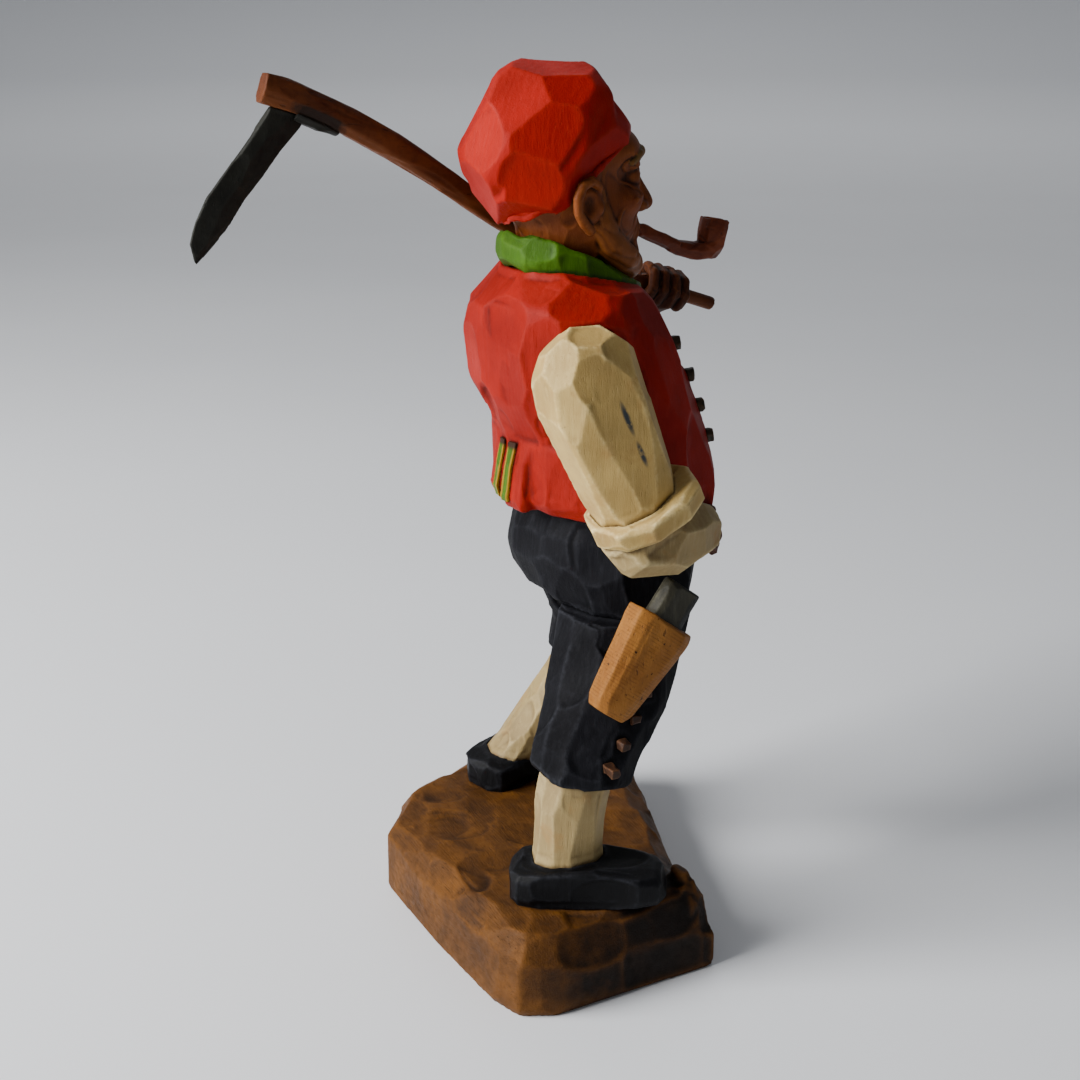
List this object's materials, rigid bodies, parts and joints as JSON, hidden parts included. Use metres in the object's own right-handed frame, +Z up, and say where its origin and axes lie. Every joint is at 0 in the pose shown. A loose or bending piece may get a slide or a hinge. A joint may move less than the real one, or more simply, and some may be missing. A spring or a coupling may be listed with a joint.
{
  "type": "carved wooden figurine",
  "caption": "Hand-carved, painted wooden figurine of a bearded mower in cap, waistcoat and knee breeches, smoking a pipe, scythe over the shoulder, on a rough carved base.",
  "frame": {"origin": "middle of the flat underside of the base", "axes": "+Z up, the figure faces -Y, its right side is -X and its left side +X"},
  "size_m": [0.105, 0.1483, 0.2284],
  "materials": {
    "stained_base": "brown stained carved wood, dull",
    "black_paint": "black painted wood, slight sheen",
    "cream_paint": "cream painted wood, matt",
    "navy_paint": "dark blue-black painted wood, matt",
    "brown_knobs": "dark brown painted wood",
    "red_paint": "red painted wood, satin",
    "cap_red_paint": "red painted wood, satin",
    "green_braid": "green paint edged with yellow",
    "green_paint": "bright green painted wood, satin",
    "skin_stain": "brown stained wood, satin",
    "hand_stain": "reddish brown stained wood, satin",
    "sleeve_cream": "cream painted wood, worn",
    "sleeve_grey": "greyed cream painted wood, worn",
    "handle_stain": "red-brown stained wood",
    "blade_paint": "dark green-black painted wood",
    "pipe_stain": "dark red-brown stained wood",
    "sheath_wood": "oiled orange-brown wood with open grain",
    "stone_paint": "grey-green painted wood",
    "dowel_wood": "bare wood"
  },
  "bodies": {
    "figure": {"base_block": "stained_base", "right_shoe": "black_paint", "left_shoe": "black_paint", "right_stocking": "cream_paint", "left_stocking": "cream_paint", "right_breech_leg": "navy_paint", "left_breech_leg": "navy_paint", "breeches_seat": "navy_paint", "knee_buttons": "brown_knobs", "waistcoat": "red_paint", "waistcoat_buttons": "brown_knobs", "tail_trim": "green_braid", "neckerchief": "green_paint", "head": "skin_stain", "cap": "cap_red_paint", "right_sleeve": "sleeve_cream", "right_cuff": "sleeve_cream", "right_lower_sleeve": "sleeve_grey", "right_hand": "hand_stain", "left_sleeve": "sleeve_cream", "left_cuff": "sleeve_cream", "left_lower_sleeve": "sleeve_grey", "left_fist": "hand_stain", "whetstone_sheath": "sheath_wood", "whetstone": "stone_paint", "sole_pegs": "dowel_wood", "hip_pegs": "dowel_wood", "waist_peg": "dowel_wood", "neck_peg": "dowel_wood", "shoulder_pegs": "dowel_wood", "elbow_pegs": "dowel_wood", "wrist_pegs": "dowel_wood", "sheath_peg": "dowel_wood"},
    "scythe": {"scythe_handle": "handle_stain", "scythe_blade": "blade_paint", "scythe_wedge": "blade_paint"},
    "pipe": {"pipe": "pipe_stain"}
  },
  "joints": [
    {"name": "scythe_draw", "type": "slide", "parent": "figure", "child": "scythe", "axis": [0, 0.9471, 0.321], "range_m": [0, 0.028]},
    {"name": "pipe_pull", "type": "slide", "parent": "figure", "child": "pipe", "axis": [0, -0.9401, -0.341], "range_m": [0, 0.009]}
  ]
}
